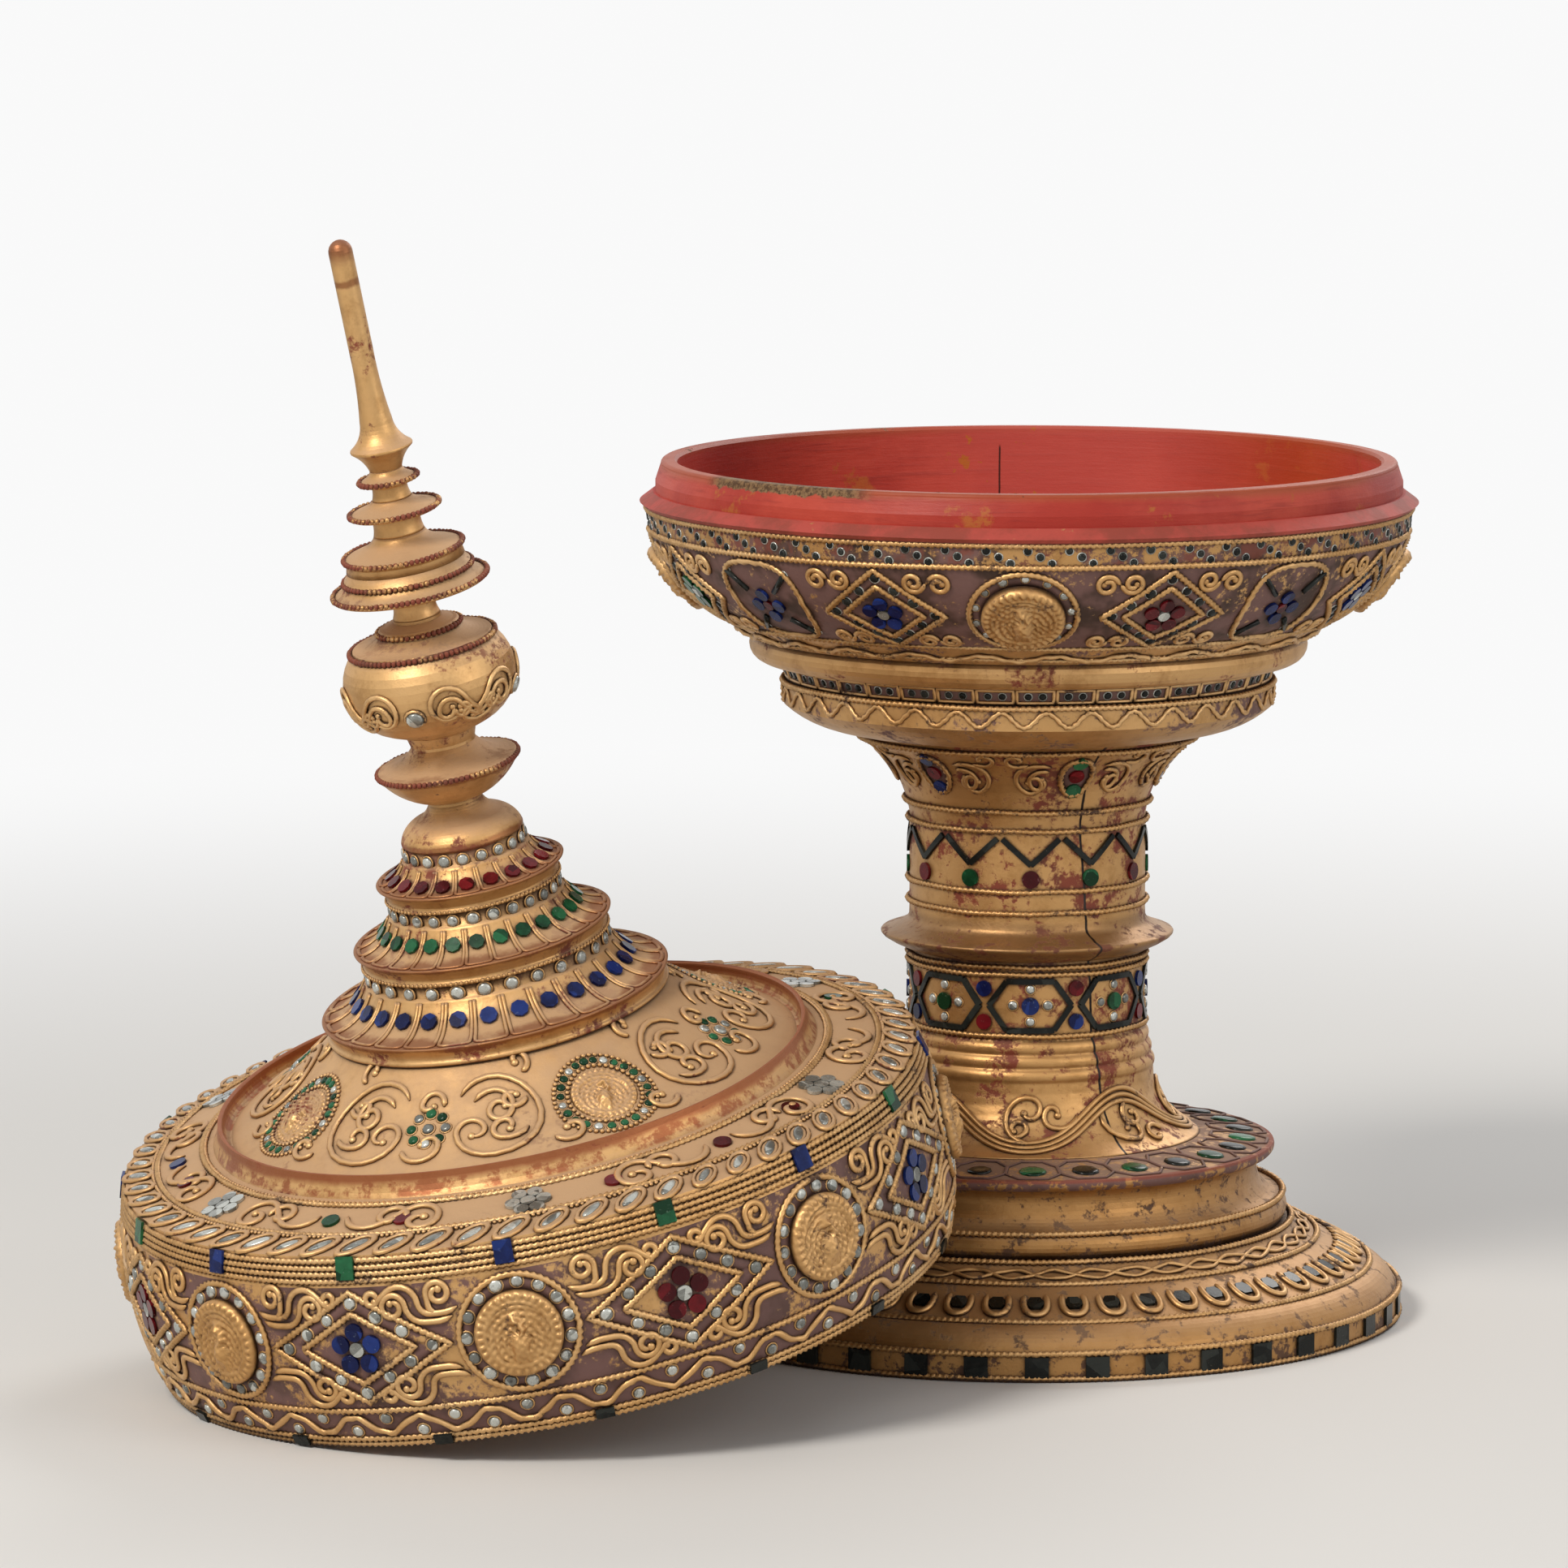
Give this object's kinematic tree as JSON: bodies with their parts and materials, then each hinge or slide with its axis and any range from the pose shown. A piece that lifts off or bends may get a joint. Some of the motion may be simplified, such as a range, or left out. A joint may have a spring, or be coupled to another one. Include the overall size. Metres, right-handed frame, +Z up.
{
  "type": "offering vessel",
  "caption": "Footed offering vessel of gilded lacquer relief inlaid with coloured glass: a pedestal bowl, and its lift-off domed cover with a tiered spire leaning on the foot.",
  "frame": {"origin": "centre of the foot's underside, on the pedestal's axis", "axes": "+Z up along the pedestal's axis; -Y is the front that the picture shows; the cover lies towards -X and -Y"},
  "size_m": [0.4691, 0.4307, 0.4098],
  "materials": {
    "gilded_wood": "gold leaf on lacquered wood, worn to red and brown",
    "worn_gilding": "rubbed gold leaf on lacquered wood",
    "gilt_relief": "gold leaf on modelled lacquer putty",
    "red_lacquer": "worn red lacquer",
    "blue_glass": "foil-backed cut glass",
    "green_glass": "foil-backed cut glass",
    "red_glass": "foil-backed cut glass",
    "clear_glass": "silvered clear glass",
    "dark_glass": "dark green-black glass"
  },
  "bodies": {
    "pedestal": {"foot_ring": "worn_gilding", "foot_ogee": "gilded_wood", "foot_drum": "gilded_wood", "foot_plate": "gilded_wood", "stem": "gilded_wood", "bowl_seat": "gilded_wood", "bowl_moulding": "gilded_wood", "bowl_shell": "gilded_wood", "rim_hoop": "red_lacquer", "foot_cords": "gilt_relief", "foot_petal_cups": "gilt_relief", "foot_lenses": "dark_glass", "foot_glass_tabs": "dark_glass", "plate_glass_green": "green_glass", "plate_glass_clear": "clear_glass", "stem_cords": "gilt_relief", "stem_strips": "dark_glass", "stem_glass_red": "red_glass", "stem_glass_green": "green_glass", "stem_glass_blue": "blue_glass", "cartouche_rings": "gilt_relief", "bowl_cords": "gilt_relief", "bowl_roundels": "gilt_relief", "bowl_roundel_rings": "gilt_relief", "bowl_lozenges": "gilt_relief", "bowl_panels": "gilt_relief", "bowl_glass_blue": "blue_glass", "bowl_glass_green": "green_glass", "bowl_glass_red": "red_glass", "bowl_glass_clear": "clear_glass"},
    "cover": {"cover_band": "gilded_wood", "cover_shoulder": "gilded_wood", "cover_dome": "gilded_wood", "tier_lower": "gilded_wood", "tier_middle": "gilded_wood", "tier_upper": "gilded_wood", "spire_bell": "gilded_wood", "spire_disc": "gilded_wood", "spire_bulb": "gilded_wood", "parasol_first": "gilded_wood", "parasol_second": "gilded_wood", "parasol_third": "gilded_wood", "parasol_fourth": "gilded_wood", "finial": "gilded_wood", "cover_cords": "gilt_relief", "cover_roundel_discs": "gilt_relief", "cover_roundel_rings": "gilt_relief", "cover_lozenges": "gilt_relief", "cover_glass_blue": "blue_glass", "cover_glass_green": "green_glass", "cover_glass_red": "red_glass", "cover_glass_clear": "clear_glass", "cover_rim_tabs": "dark_glass"}
  },
  "joints": [
    {"name": "cover_lift", "type": "slide", "parent": "pedestal", "child": "cover", "axis": [-0.3699, -0.289, 0.8829], "range_m": [0, 0.42]}
  ]
}
